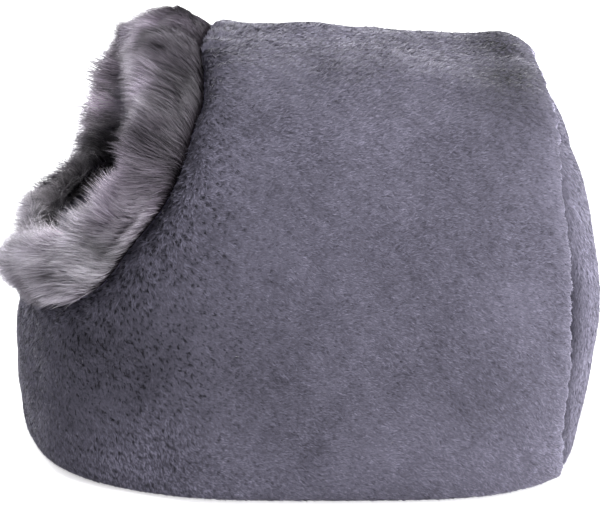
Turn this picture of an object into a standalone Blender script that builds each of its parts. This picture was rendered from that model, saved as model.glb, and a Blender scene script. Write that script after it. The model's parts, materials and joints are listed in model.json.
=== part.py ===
"""Plush cat cave: padded hood, rear panel, flat base and a long-fur mouth collar.

Metres, +Z up, the mouth faces -Y, the rear is +Y, mirror-symmetric about X = 0.
"""
import math

import bmesh
import bpy
import numpy as np

# ---------------------------------------------------------------- named sizes
WALL = 0.012            # padded plush panel, outer face to inner face
BASE_THICK = 0.010      # padded base panel
BASE_EASE = 0.0020      # the base panel lies this far inside the hems
GAP = 0.00025           # each sewn edge stands this far back from its seam line
CENTRE_Z = 0.130        # point inside the cabin from which the body form is measured
BODY_HEIGHT = 0.3079    # height of the crown at mid length
FRONT_RISE = 0.0347     # the crown rises toward the mouth by this share over 0.22 m
RISE_LENGTH = 0.22

# body outline against height: share of height, reach to the front, to the rear, half width,
# roundness of the plan in its front and rear half (2 is an ellipse, more is squarer)
BODY = {
    "height":      (0.00, 0.20, 0.36, 0.50, 0.75, 0.90, 1.00),
    "front":       (0.2200, 0.2255, 0.2200, 0.2060, 0.1720, 0.1420, 0.1180),
    "rear":        (0.2100, 0.2235, 0.2275, 0.2265, 0.2120, 0.2020, 0.1960),
    "half_width":  (0.1800, 0.1850, 0.1880, 0.1890, 0.1890, 0.1890, 0.1890),
    "plan_front":  (2.65, 2.80, 3.00, 3.30, 3.60, 3.60, 3.60),
    "plan_rear":   (4.20, 4.80, 5.20, 5.40, 5.40, 5.20, 5.00),
}
# share of height where each side starts to close over, and the roundness of that bend
CROWN = {
    "side":  ("front", "side", "rear"),
    "from":  (0.90, 0.45, 0.92),
    "round": (3.60, 2.87, 2.70),
}

# soft dents in the padded panel: side (1 both sides, 0 top), position, radius, depth
DENTS = {
    "x":      (0.000, 0.165, 0.178, 0.170, 0.120),
    "y":      (0.118, -0.030, -0.125, 0.130, -0.020),
    "z":      (0.300, 0.215, 0.110, 0.060, 0.285),
    "radius": (0.060, 0.055, 0.050, 0.060, 0.050),
    "depth":  (0.0022, 0.0018, 0.0022, 0.0016, 0.0015),
}

# mouth seam and the fur collar that stands on it, front centre (first) to top centre (last)
MOUTH = {
    "x":      (0.000, 0.060, 0.108, 0.142, 0.161, 0.167, 0.166, 0.154, 0.135, 0.108, 0.062, 0.000),
    "y":      (-0.205, -0.201, -0.189, -0.168, -0.143, -0.120, -0.096, -0.083, -0.077, -0.070, -0.071, -0.077),
    "z":      (0.144, 0.143, 0.143, 0.149, 0.168, 0.199, 0.232, 0.261, 0.280, 0.295, 0.307, 0.312),
    "reach":  (0.038, 0.039, 0.042, 0.046, 0.051, 0.054, 0.059, 0.066, 0.073, 0.077, 0.076, 0.068),
    "flare":  (50.0, 48.0, 42.0, 30.0, 20.0, 14.0, 12.0, 11.0, 7.0, 2.0, -3.0, -4.0),
    "outer":  (0.022, 0.023, 0.023, 0.021, 0.019, 0.018, 0.020, 0.019, 0.022, 0.021, 0.021, 0.019),
    "inner":  (0.017, 0.018, 0.018, 0.018, 0.017, 0.016, 0.017, 0.016, 0.017, 0.016, 0.017, 0.016),
}

# rear arch seam, base corner (first) to top centre (last)
ARCH = {
    "x": (0.134, 0.158, 0.166, 0.170, 0.166, 0.156, 0.138, 0.112, 0.078, 0.038, 0.000),
    "y": (0.196, 0.199, 0.200, 0.199, 0.196, 0.195, 0.194, 0.194, 0.194, 0.194, 0.194),
    "z": (0.000, 0.050, 0.102, 0.160, 0.199, 0.225, 0.249, 0.268, 0.281, 0.288, 0.290),
}

# puffed edge beside a sewn seam: distance from the seam, lift of the surface
PUFF_HOOD = {"distance": (0.0, 0.003, 0.008, 0.016, 0.032, 0.060),
             "lift": (-0.0030, 0.0002, 0.0024, 0.0026, 0.0008, 0.0)}
PUFF_REAR = {"distance": (0.0, 0.003, 0.008, 0.016, 0.032, 0.060),
             "lift": (-0.0085, -0.0068, -0.0042, -0.0012, 0.0008, 0.0)}
PUFF_BASE = {"distance": (0.0, 0.003, 0.008, 0.016, 0.032, 0.060),
             "lift": (-0.0050, -0.0022, -0.0004, 0.0, 0.0, 0.0)}
PUFF_MOUTH = {"distance": (0.0, 0.003, 0.008, 0.016, 0.032, 0.060),
              "lift": (-0.0030, -0.0010, 0.0012, 0.0016, 0.0004, 0.0)}

HALF_BASE = 18          # steps along the base seam, front centre to rear corner
HALF_ARCH = 16          # steps along the arch seam, rear corner to top centre
MOUTH_AT_CORNER = 0.58  # share of the mouth seam paired with the base part
RINGS_HOOD = (0.0, 0.022, 0.055, 0.11, 0.19, 0.30, 0.42, 0.55, 0.68, 0.79, 0.88, 0.935, 0.97, 0.988, 1.0)
RINGS_REAR = (0.0, 0.028, 0.07, 0.14, 0.26, 0.42, 0.62, 0.82)
COLLAR_SIDES = 16       # points round one section of the collar
COLLAR_CLEAR = 0.0008   # the fur stands this far ahead of the mouth seam
COLLAR_OVER = 0.0036    # and falls back over the plush only above this height


# ---------------------------------------------------------------- body form
def outline_tables():
    """The body table read on a fine even ladder of heights, smooth through its rows."""
    rows = np.array(BODY["height"])
    ladder = np.linspace(0, 1, 401)
    read = {}
    for key in ("front", "rear", "half_width", "plan_front", "plan_rear"):
        v = np.array(BODY[key])
        slope = np.gradient(v, rows)
        i = np.clip(np.searchsorted(rows, ladder, side="right") - 1, 0, len(rows) - 2)
        step = rows[i + 1] - rows[i]
        t = (ladder - rows[i]) / step
        read[key] = ((2 * t ** 3 - 3 * t ** 2 + 1) * v[i] + (t ** 3 - 2 * t ** 2 + t) * step * slope[i]
                     + (3 * t ** 2 - 2 * t ** 3) * v[i + 1] + (t ** 3 - t ** 2) * step * slope[i + 1])
    return ladder, read


LADDER, OUTLINE = outline_tables()


def within(p):
    """True for points inside the body form."""
    x, y, z = p[:, 0], p[:, 1], p[:, 2]
    level = z / (1 - FRONT_RISE * y / RISE_LENGTH)
    share = np.clip(level / BODY_HEIGHT, 0, 1)
    front, rear, width, plan_front, plan_rear = (
        np.interp(share, LADDER, OUTLINE[k]) for k in ("front", "rear", "half_width", "plan_front", "plan_rear"))
    close_front, close_side, close_rear = (
        (1 - np.clip((share - start) / (1 - start), 0, 1) ** bend) ** (1 / bend)
        for start, bend in zip(CROWN["from"], CROWN["round"]))
    reach = np.where(y < 0, front * close_front, rear * close_rear) + 1e-9
    plan = np.where(y < 0, plan_front, plan_rear)
    value = (np.abs(x) / (width * close_side + 1e-9)) ** plan + (np.abs(y) / reach) ** plan
    return (value < 1) & (level < BODY_HEIGHT) & (z > -1e-6)


def on_body(directions):
    """Points of the body form along directions from the measuring centre."""
    d = directions / np.linalg.norm(directions, axis=1)[:, None]
    near, far = np.zeros(len(d)), np.full(len(d), 0.6)
    centre = np.array([0.0, 0.0, CENTRE_Z])
    for _ in range(40):
        mid = (near + far) / 2
        inside = within(centre + mid[:, None] * d)
        near, far = np.where(inside, mid, near), np.where(inside, far, mid)
    return centre + near[:, None] * d


def direction_of(p):
    v = p - np.array([0.0, 0.0, CENTRE_Z])
    return v / np.linalg.norm(v, axis=1)[:, None]


def body_normal(p):
    """Outward normals of the body form, from two small side steps."""
    d = direction_of(p)
    side = np.cross(d, np.array([0.0, 0.3, 1.0]))
    side /= np.linalg.norm(side, axis=1)[:, None]
    up = np.cross(side, d)
    e = 0.012
    n = np.cross(on_body(d + e * side) - on_body(d - e * side), on_body(d + e * up) - on_body(d - e * up))
    n /= np.linalg.norm(n, axis=1)[:, None]
    return n * np.sign((n * d).sum(1))[:, None]


def dented(p):
    """Inward depth of the soft dents at points p."""
    depth = np.zeros(len(p))
    for x, y, z, radius, deep in zip(*(DENTS[k] for k in ("x", "y", "z", "radius", "depth"))):
        away = np.sqrt((np.abs(p[:, 0]) - x) ** 2 + (p[:, 1] - y) ** 2 + (p[:, 2] - z) ** 2) / radius
        depth += deep * np.exp(-2.2 * away ** 2)
    return depth


def slide(a, b, t):
    """Directions part way from a to b along the sphere."""
    angle = np.arccos(np.clip((a * b).sum(1), -1, 1))[:, None]
    s = np.sin(angle)
    return np.where(s > 1e-6, (np.sin((1 - t) * angle) * a + np.sin(t * angle) * b) / np.maximum(s, 1e-6), a)


def curve(table, keys, count):
    """Smooth curve through the rows of a table, count + 1 points evenly spaced along it."""
    rows = np.array([table[k] for k in keys]).T
    first = rows[1] * np.array([-1] + [1] * (len(keys) - 1)) if keys[0] == "x" and abs(rows[0][0]) < 1e-9 else 2 * rows[0] - rows[1]
    last = rows[-2] * np.array([-1] + [1] * (len(keys) - 1)) if keys[0] == "x" and abs(rows[-1][0]) < 1e-9 else 2 * rows[-1] - rows[-2]
    ext = np.vstack([first, rows, last])
    fine = []
    for i in range(1, len(ext) - 2):
        for t in np.linspace(0, 1, 24, endpoint=False):
            a, b, c, d = ext[i - 1], ext[i], ext[i + 1], ext[i + 2]
            fine.append(0.5 * (2 * b + (c - a) * t + (2 * a - 5 * b + 4 * c - d) * t * t + (3 * b - a - 3 * c + d) * t ** 3))
    fine.append(ext[-2])
    fine = np.array(fine)
    run = np.concatenate([[0], np.cumsum(np.linalg.norm(np.diff(fine[:, :3], axis=0), axis=1))])
    want = np.linspace(0, run[-1], count + 1) if np.isscalar(count) else np.array(count) * run[-1]
    return np.stack([np.interp(want, run, fine[:, k]) for k in range(fine.shape[1])], 1)


def base_edge(count):
    """Plan outline at the floor, front centre to the rear corner."""
    corner = math.atan2(ARCH["x"][0], -ARCH["y"][0])
    fine = np.linspace(0, corner, 400)
    ray = np.stack([np.sin(fine), -np.cos(fine)], 1)
    reach = np.where(ray[:, 1] < 0, BODY["front"][0], BODY["rear"][0])
    power = np.where(ray[:, 1] < 0, BODY["plan_front"][0], BODY["plan_rear"][0])
    size = ((np.abs(ray[:, 0]) / BODY["half_width"][0]) ** power + (np.abs(ray[:, 1]) / reach) ** power) ** (-1 / power)
    edge = ray * size[:, None]
    run = np.concatenate([[0], np.cumsum(np.linalg.norm(np.diff(edge, axis=0), axis=1))])
    want = np.linspace(0, run[-1], count + 1)
    return np.stack([np.interp(want, run, edge[:, 0]), np.interp(want, run, edge[:, 1]), np.zeros(count + 1)], 1)


def rear_edge(count):
    """Plan outline at the floor, rear corner to rear centre."""
    corner = math.atan2(ARCH["x"][0], ARCH["y"][0])
    a = np.linspace(corner, 0, count + 1)
    ray = np.stack([np.sin(a), np.cos(a)], 1)
    power = BODY["plan_rear"][0]
    size = ((np.abs(ray[:, 0]) / BODY["half_width"][0]) ** power + (np.abs(ray[:, 1]) / BODY["rear"][0]) ** power) ** (-1 / power)
    return np.stack([ray[:, 0] * size, ray[:, 1] * size, np.zeros(count + 1)], 1)


def whole(half):
    """A closed loop from its X >= 0 half, first and last points on the mirror plane."""
    other = half[1:-1][::-1] * np.array([-1, 1, 1])
    return np.vstack([half, other])


# ---------------------------------------------------------------- building
def lift_of(table, distance):
    return np.interp(distance, table["distance"], table["lift"])


def make_object(name, vertices, faces, material, collection):
    mesh = bpy.data.meshes.new(name)
    mesh.from_pydata([tuple(v) for v in vertices], [], faces)
    bm = bmesh.new()
    bm.from_mesh(mesh)
    bmesh.ops.recalc_face_normals(bm, faces=bm.faces)
    bm.to_mesh(mesh)
    bm.free()
    for polygon in mesh.polygons:
        polygon.use_smooth = True
    mesh.materials.append(material)
    thing = bpy.data.objects.new(name, mesh)
    collection.objects.link(thing)
    return thing


def make_material(name, colour, roughness):
    material = bpy.data.materials.new(name)
    material.use_nodes = True
    shader = material.node_tree.nodes["Principled BSDF"]
    shader.inputs["Base Color"].default_value = (*colour, 1)
    shader.inputs["Roughness"].default_value = roughness
    shader.inputs["Metallic"].default_value = 0.0
    material.diffuse_color = (*colour, 1)
    return material


def loop_faces(a, b, count):
    """Quads between two closed rings whose first vertices are a and b."""
    return [(a + i, a + (i + 1) % count, b + (i + 1) % count, b + i) for i in range(count)]


def seam_frames():
    """Sewn loops and the normals that both neighbours share along them."""
    base = base_edge(HALF_BASE)
    arch = on_body(direction_of(curve(ARCH, ("x", "y", "z"), HALF_ARCH)))
    arch[0] = base[-1]
    return base, arch


def main():
    for thing in list(bpy.data.objects):
        bpy.data.objects.remove(thing, do_unlink=True)
    collection = bpy.data.collections.new("plush_cat_cave")
    bpy.context.scene.collection.children.link(collection)

    plush = (0.205, 0.198, 0.215)
    mats = {
        "hood_panel": make_material("hood_plush", plush, 0.95),
        "rear_panel": make_material("rear_plush", (0.215, 0.208, 0.225), 0.95),
        "base_panel": make_material("base_plush", (0.180, 0.174, 0.190), 0.95),
        "fur_collar": make_material("collar_fur", (0.255, 0.245, 0.245), 0.9),
    }

    base, arch = seam_frames()
    outer_half = np.vstack([base, arch[1:]])
    outer = whole(outer_half)
    n_half = HALF_BASE + HALF_ARCH
    n = len(outer)
    share = np.concatenate([np.linspace(0, MOUTH_AT_CORNER, HALF_BASE + 1),
                            np.linspace(MOUTH_AT_CORNER, 1, HALF_ARCH + 1)[1:]])
    mouth_half = curve(MOUTH, ("x", "y", "z"), share)
    mouth = on_body(direction_of(whole(mouth_half)))

    # normals along the sewn edges; at the floor they lie level so the hem stands on it
    outer_n = body_normal(outer + np.array([0, 0, 1]) * np.where(outer[:, 2:3] < 0.02, 0.02, 0))
    low = outer[:, 2] < 0.001
    outer_n[low, 2] = 0
    outer_n /= np.linalg.norm(outer_n, axis=1)[:, None]
    mouth_n = body_normal(mouth)

    # ---- hood panel: rings from the mouth seam to the base and arch seams
    da, db = direction_of(mouth), direction_of(outer)
    rings = [on_body(slide(da, db, t)) for t in RINGS_HOOD]
    rings[0], rings[-1] = mouth.copy(), outer.copy()
    rings = np.array(rings)
    run = np.zeros(rings.shape[:2])
    run[1:] = np.cumsum(np.linalg.norm(np.diff(rings, axis=0), axis=2), axis=0)
    from_mouth, from_outer = run, run[-1] - run
    on_floor = np.zeros(n, bool)
    on_floor[:HALF_BASE] = True
    on_floor[n - HALF_BASE + 1:] = True
    blend = np.array([1.0 if f else 0.0 for f in on_floor])
    for shift, weight in ((1, 0.5), (2, 0.25)):
        blend = np.maximum(blend, np.maximum(np.roll(blend, shift), np.roll(blend, -shift)) * weight) if shift == 1 else blend
    normals = np.array([body_normal(r) for r in rings])
    normals[0], normals[-1] = mouth_n, outer_n
    for k in (-2, -3, -4):
        w = {-2: 0.75, -3: 0.45, -4: 0.2}[k]
        normals[k] = normals[k] * (1 - w) + outer_n * w
        normals[k] /= np.linalg.norm(normals[k], axis=1)[:, None]
    lift = (lift_of(PUFF_MOUTH, from_mouth)
            + blend * lift_of(PUFF_BASE, from_outer) + (1 - blend) * lift_of(PUFF_HOOD, from_outer))
    dent = np.array([dented(r) for r in rings])
    dent *= np.clip(from_outer / 0.03, 0, 1) * np.clip(from_mouth / 0.03, 0, 1)
    out_face = rings + normals * (lift - dent)[:, :, None]
    in_face = rings + normals * (-WALL)
    # step back from the seam lines
    across_outer = rings[-2] - rings[-1]
    across_outer -= outer_n * (across_outer * outer_n).sum(1)[:, None]
    across_outer /= np.linalg.norm(across_outer, axis=1)[:, None]
    across_outer[on_floor] = 0
    out_face[-1] += across_outer * GAP
    in_face[-1] += across_outer * GAP
    for face in (out_face, in_face):
        face[-1][low, 2] = 0.0
    count = len(RINGS_HOOD)
    vertices = np.vstack([out_face.reshape(-1, 3), in_face.reshape(-1, 3)])
    faces = []
    for k in range(count - 1):
        faces += loop_faces(k * n, (k + 1) * n, n)
        faces += loop_faces((count + k + 1) * n, (count + k) * n, n)
    faces += loop_faces(count * n, 0, n)
    faces += loop_faces((count - 1) * n, (2 * count - 1) * n, n)
    hood_vertices, hood_faces = vertices, faces
    hem_inner = in_face[-1].copy()

    # ---- rear panel: rings from its sewn edge to the middle of the rear
    floor_half = rear_edge(HALF_BASE // 2)
    loop_half = np.vstack([arch[::-1], floor_half[1:]])
    loop = whole(loop_half)
    m = len(loop)
    loop_n = body_normal(loop + np.array([0, 0, 1]) * np.where(loop[:, 2:3] < 0.02, 0.02, 0))
    m_low = loop[:, 2] < 0.001
    loop_n[m_low, 2] = 0
    loop_n /= np.linalg.norm(loop_n, axis=1)[:, None]
    middle = on_body(np.array([[0.0, 1.0, 0.02]]))
    dm = np.repeat(direction_of(middle), m, 0)
    dl = direction_of(loop)
    rr = np.array([loop.copy() if t == 0 else on_body(slide(dl, dm, t)) for t in RINGS_REAR])
    run = np.zeros(rr.shape[:2])
    run[1:] = np.cumsum(np.linalg.norm(np.diff(rr, axis=0), axis=2), axis=0)
    rn = np.array([body_normal(r) for r in rr])
    rn[0] = loop_n
    for k, w in ((1, 0.75), (2, 0.45), (3, 0.2)):
        rn[k] = rn[k] * (1 - w) + loop_n * w
        rn[k] /= np.linalg.norm(rn[k], axis=1)[:, None]
    bottom = np.zeros(m)
    bottom[HALF_ARCH + 1:m - HALF_ARCH] = 1.0
    lift = (1 - bottom) * lift_of(PUFF_REAR, run) + bottom * lift_of(PUFF_BASE, run)
    rear_out = rr + rn * lift[:, :, None]
    rear_in = rr + rn * (-WALL - 0.0045 * np.exp(-run / 0.012)[:, :, None] * (1 - bottom)[None, :, None])
    across = rr[1] - rr[0]
    across -= loop_n * (across * loop_n).sum(1)[:, None]
    across /= np.linalg.norm(across, axis=1)[:, None]
    across[bottom > 0] = 0
    for face in (rear_out, rear_in):
        face[0] += across * GAP
        face[0][m_low, 2] = 0.0
    tip_out, tip_in = middle[0], middle[0] + np.array([0, -WALL, 0])
    rings_n = len(RINGS_REAR)
    vertices = np.vstack([rear_out.reshape(-1, 3), rear_in.reshape(-1, 3), [tip_out], [tip_in]])
    faces = []
    for k in range(rings_n - 1):
        faces += loop_faces(k * m, (k + 1) * m, m)
        faces += loop_faces((rings_n + k + 1) * m, (rings_n + k) * m, m)
    faces += loop_faces(rings_n * m, 0, m)
    a, b = 2 * rings_n * m, 2 * rings_n * m + 1
    last = (rings_n - 1) * m
    faces += [(last + i, last + (i + 1) % m, a) for i in range(m)]
    last = (2 * rings_n - 1) * m
    faces += [(last + (i + 1) % m, last + i, b) for i in range(m)]
    rear_vertices, rear_faces = vertices, faces
    rear_hem = rear_in[0].copy()

    # ---- base panel: plate inside the hems of the hood and the rear panel
    front_part = hem_inner[:HALF_BASE + 1]
    rear_part = rear_hem[HALF_ARCH:HALF_ARCH + HALF_BASE // 2 + 1]
    plan_half = np.vstack([front_part[:-1], (front_part[-1:] + rear_part[:1]) / 2, rear_part[1:]])
    plan = whole(plan_half)
    plan[:, 2] = 0
    side = np.roll(plan, -1, 0) - np.roll(plan, 1, 0)
    inward = np.stack([-side[:, 1], side[:, 0], np.zeros(len(side))], 1)
    inward /= np.linalg.norm(inward, axis=1)[:, None]
    inward *= np.sign((inward * -plan).sum(1))[:, None]
    edge = plan + inward * BASE_EASE
    p = len(edge)
    rounding = 0.0035
    levels = ((0.0, rounding), (rounding * 0.3, rounding * 0.3), (rounding, 0.0), (BASE_THICK - rounding, 0.0),
              (BASE_THICK - rounding * 0.3, rounding * 0.3), (BASE_THICK, rounding))
    vertices, faces = [], []
    for z, inset in levels:
        vertices += [v + w * inset + np.array([0, 0, z]) for v, w in zip(edge, inward)]
    for k in range(len(levels) - 1):
        faces += loop_faces(k * p, (k + 1) * p, p)
    faces.append(tuple(range(p))[::-1])
    faces.append(tuple(range((len(levels) - 1) * p, len(levels) * p)))
    base_vertices, base_faces = np.array(vertices), faces

    # ---- fur collar: egg-shaped sections round the mouth seam
    c_half = curve(MOUTH, ("x", "y", "z", "reach", "flare", "outer", "inner"), n_half)
    seam = on_body(direction_of(whole(c_half[:, :3])))
    mirrored = np.concatenate([np.arange(n_half + 1), np.arange(n_half - 1, 0, -1)])
    sizes = c_half[mirrored, 3:]
    sn = body_normal(seam)
    along = np.roll(seam, -1, 0) - np.roll(seam, 1, 0)
    along /= np.linalg.norm(along, axis=1)[:, None]
    into = np.cross(sn, along)
    into /= np.linalg.norm(into, axis=1)[:, None]
    hole = np.array([0.0, -0.175, 0.245])
    into *= np.sign((into * (hole - seam)).sum(1))[:, None]
    count = len(seam)
    vertices = []
    for i in range(count):
        reach, flare, thick_out, thick_in = sizes[i]
        f = math.radians(flare)
        axis = into[i] * math.cos(f) + sn[i] * math.sin(f)
        over = sn[i] * math.cos(f) - into[i] * math.sin(f)
        root = seam[i] - sn[i] * (WALL / 2) + into[i] * 0.0012
        for k in range(COLLAR_SIDES):
            a = 2 * math.pi * k / COLLAR_SIDES
            s = (1 - math.cos(a)) / 2
            belly = math.sin(a) * (0.72 + 0.42 * s)
            point = root + axis * (reach * s ** 0.9) + over * belly * (thick_out if belly > 0 else thick_in) - seam[i]
            high, ahead = point @ sn[i], point @ into[i]
            ahead = max(ahead, COLLAR_CLEAR - max(0.0, high - COLLAR_OVER) * 1.5)
            vertices.append(seam[i] + sn[i] * high + into[i] * ahead)
    vertices = np.array(vertices)
    faces = []
    for i in range(count):
        j = (i + 1) % count
        for k in range(COLLAR_SIDES):
            l = (k + 1) % COLLAR_SIDES
            faces.append((i * COLLAR_SIDES + k, i * COLLAR_SIDES + l, j * COLLAR_SIDES + l, j * COLLAR_SIDES + k))
    collar_vertices, collar_faces = vertices, faces

    pieces = {
        "hood_panel": (hood_vertices, hood_faces),
        "rear_panel": (rear_vertices, rear_faces),
        "base_panel": (base_vertices, base_faces),
        "fur_collar": (collar_vertices, collar_faces),
    }
    everything = np.vstack([v for v, _ in pieces.values()])
    middle_y = (everything[:, 1].min() + everything[:, 1].max()) / 2
    for name, (v, f) in pieces.items():
        make_object(name, v - np.array([0, middle_y, 0]), f, mats[name], collection)


main()
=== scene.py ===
"""Looks of the plush cat cave: short-pile plush panels and a long-fur mouth collar.

Metres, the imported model's frame: +Z up, the mouth faces -Y, the near side in the picture is +X.
"""

import json
import math

import bpy
import numpy as np
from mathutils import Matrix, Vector, kdtree

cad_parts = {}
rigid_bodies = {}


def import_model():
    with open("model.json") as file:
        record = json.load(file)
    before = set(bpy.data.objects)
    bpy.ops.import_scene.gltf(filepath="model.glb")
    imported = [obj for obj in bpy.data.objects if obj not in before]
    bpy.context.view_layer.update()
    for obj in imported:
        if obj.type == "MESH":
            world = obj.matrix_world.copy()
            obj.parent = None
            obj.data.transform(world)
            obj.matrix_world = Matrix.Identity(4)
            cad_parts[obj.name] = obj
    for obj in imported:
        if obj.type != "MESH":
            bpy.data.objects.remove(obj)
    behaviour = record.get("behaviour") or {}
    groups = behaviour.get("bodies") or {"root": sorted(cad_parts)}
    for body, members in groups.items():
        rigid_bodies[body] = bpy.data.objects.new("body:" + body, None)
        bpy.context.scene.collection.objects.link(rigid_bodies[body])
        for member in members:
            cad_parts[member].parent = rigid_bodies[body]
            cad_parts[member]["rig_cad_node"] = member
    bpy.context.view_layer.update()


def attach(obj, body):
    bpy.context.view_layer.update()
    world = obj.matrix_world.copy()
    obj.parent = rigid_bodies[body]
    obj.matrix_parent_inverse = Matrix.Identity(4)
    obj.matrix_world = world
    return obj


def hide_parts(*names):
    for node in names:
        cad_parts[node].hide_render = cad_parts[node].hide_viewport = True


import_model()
rng = np.random.default_rng(20)

# ------------------------------------------------------------------ named sizes
ROW_Y = 0.004656        # the body form's own centre lies this far toward the rear in the model's frame
WALL = 0.012
CENTRE_Z = 0.130
BODY_HEIGHT = 0.3079
FRONT_RISE = 0.0347
RISE_LENGTH = 0.22
PILE = 0.0016           # the woven backing lies this far under the panels' outer form

BODY = {
    "height":      (0.00, 0.20, 0.36, 0.50, 0.75, 0.90, 1.00),
    "front":       (0.2200, 0.2255, 0.2200, 0.2060, 0.1720, 0.1420, 0.1180),
    "rear":        (0.2100, 0.2235, 0.2275, 0.2265, 0.2120, 0.2020, 0.1960),
    "half_width":  (0.1800, 0.1850, 0.1880, 0.1890, 0.1890, 0.1890, 0.1890),
    "plan_front":  (2.65, 2.80, 3.00, 3.30, 3.60, 3.60, 3.60),
    "plan_rear":   (4.20, 4.80, 5.20, 5.40, 5.40, 5.20, 5.00),
}
CROWN = {"from": (0.90, 0.45, 0.92), "round": (3.60, 2.87, 2.70)}
DENTS = {
    "x":      (0.000, 0.165, 0.178, 0.170, 0.120),
    "y":      (0.118, -0.030, -0.125, 0.130, -0.020),
    "z":      (0.300, 0.215, 0.110, 0.060, 0.285),
    "radius": (0.060, 0.055, 0.050, 0.060, 0.050),
    "depth":  (0.0014, 0.0018, 0.0022, 0.0016, 0.0006),
}
MOUTH = {
    "x":      (0.000, 0.060, 0.108, 0.142, 0.161, 0.167, 0.166, 0.154, 0.135, 0.108, 0.062, 0.000),
    "y":      (-0.205, -0.201, -0.189, -0.168, -0.143, -0.120, -0.096, -0.083, -0.077, -0.070, -0.071, -0.077),
    "z":      (0.144, 0.143, 0.143, 0.149, 0.168, 0.199, 0.232, 0.261, 0.280, 0.295, 0.307, 0.312),
    "reach":  (0.038, 0.039, 0.042, 0.046, 0.051, 0.054, 0.059, 0.066, 0.073, 0.077, 0.076, 0.068),
    "flare":  (50.0, 48.0, 42.0, 30.0, 20.0, 14.0, 12.0, 11.0, 7.0, 2.0, -3.0, -4.0),
    "outer":  (0.022, 0.023, 0.023, 0.021, 0.019, 0.018, 0.020, 0.019, 0.022, 0.021, 0.021, 0.019),
    "inner":  (0.017, 0.018, 0.018, 0.018, 0.017, 0.016, 0.017, 0.016, 0.017, 0.016, 0.017, 0.016),
}
ARCH = {
    "x": (0.134, 0.158, 0.166, 0.170, 0.166, 0.156, 0.138, 0.112, 0.078, 0.038, 0.000),
    "y": (0.196, 0.199, 0.200, 0.199, 0.196, 0.195, 0.194, 0.194, 0.194, 0.194, 0.194),
    "z": (0.000, 0.050, 0.102, 0.160, 0.199, 0.225, 0.249, 0.268, 0.281, 0.288, 0.290),
}
PUFF_HOOD = {"distance": (0.0, 0.0018, 0.004, 0.008, 0.016, 0.032, 0.060),
             "lift": (-0.0120, -0.0045, 0.0004, 0.0028, 0.0028, 0.0010, 0.0)}
PUFF_REAR = {"distance": (0.0, 0.003, 0.007, 0.013, 0.022, 0.034, 0.060),
             "lift": (-0.0135, -0.0115, -0.0075, -0.0030, -0.0002, 0.0010, 0.0)}
PUFF_BASE = {"distance": (0.0, 0.003, 0.008, 0.016, 0.032, 0.060),
             "lift": (-0.0050, -0.0022, -0.0004, 0.0, 0.0, 0.0)}
PUFF_MOUTH = {"distance": (0.0, 0.003, 0.008, 0.016, 0.032, 0.060),
              "lift": (-0.0030, -0.0010, 0.0012, 0.0016, 0.0004, 0.0)}
MOUTH_AT_CORNER = 0.58


# ------------------------------------------------------------------ body form
def outline_tables():
    rows = np.array(BODY["height"])
    ladder = np.linspace(0, 1, 401)
    read = {}
    for key in ("front", "rear", "half_width", "plan_front", "plan_rear"):
        v = np.array(BODY[key])
        slope = np.gradient(v, rows)
        i = np.clip(np.searchsorted(rows, ladder, side="right") - 1, 0, len(rows) - 2)
        step = rows[i + 1] - rows[i]
        t = (ladder - rows[i]) / step
        read[key] = ((2 * t ** 3 - 3 * t ** 2 + 1) * v[i] + (t ** 3 - 2 * t ** 2 + t) * step * slope[i]
                     + (3 * t ** 2 - 2 * t ** 3) * v[i + 1] + (t ** 3 - t ** 2) * step * slope[i + 1])
    return ladder, read


LADDER, OUTLINE = outline_tables()


def within(p):
    x, y, z = p[:, 0], p[:, 1], p[:, 2]
    level = z / (1 - FRONT_RISE * y / RISE_LENGTH)
    share = np.clip(level / BODY_HEIGHT, 0, 1)
    front, rear, width, plan_front, plan_rear = (
        np.interp(share, LADDER, OUTLINE[k]) for k in ("front", "rear", "half_width", "plan_front", "plan_rear"))
    close_front, close_side, close_rear = (
        (1 - np.clip((share - start) / (1 - start), 0, 1) ** bend) ** (1 / bend)
        for start, bend in zip(CROWN["from"], CROWN["round"]))
    reach = np.where(y < 0, front * close_front, rear * close_rear) + 1e-9
    plan = np.where(y < 0, plan_front, plan_rear)
    value = (np.abs(x) / (width * close_side + 1e-9)) ** plan + (np.abs(y) / reach) ** plan
    return (value < 1) & (level < BODY_HEIGHT) & (z > -1e-6)


def on_body(directions):
    d = directions / np.linalg.norm(directions, axis=1)[:, None]
    near, far = np.zeros(len(d)), np.full(len(d), 0.6)
    centre = np.array([0.0, 0.0, CENTRE_Z])
    for _ in range(26):
        mid = (near + far) / 2
        inside = within(centre + mid[:, None] * d)
        near, far = np.where(inside, mid, near), np.where(inside, far, mid)
    return centre + near[:, None] * d


def unit(v):
    return v / np.maximum(np.linalg.norm(v, axis=-1, keepdims=True), 1e-12)


def direction_of(p):
    return unit(p - np.array([0.0, 0.0, CENTRE_Z]))


def body_normal(p):
    d = direction_of(p)
    side = unit(np.cross(d, np.array([0.0, 0.3, 1.0])))
    up = np.cross(side, d)
    e = 0.012
    n = unit(np.cross(on_body(d + e * side) - on_body(d - e * side), on_body(d + e * up) - on_body(d - e * up)))
    return n * np.sign((n * d).sum(1))[:, None]


def dented(p):
    depth = np.zeros(len(p))
    for x, y, z, radius, deep in zip(*(DENTS[k] for k in ("x", "y", "z", "radius", "depth"))):
        away = np.sqrt((np.abs(p[:, 0]) - x) ** 2 + (p[:, 1] - y) ** 2 + (p[:, 2] - z) ** 2) / radius
        depth += deep * np.exp(-2.2 * away ** 2)
    return depth


def slide(a, b, t):
    angle = np.arccos(np.clip((a * b).sum(1), -1, 1))[:, None]
    s = np.sin(angle)
    return np.where(s > 1e-6, (np.sin((1 - t) * angle) * a + np.sin(t * angle) * b) / np.maximum(s, 1e-6), a)


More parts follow.
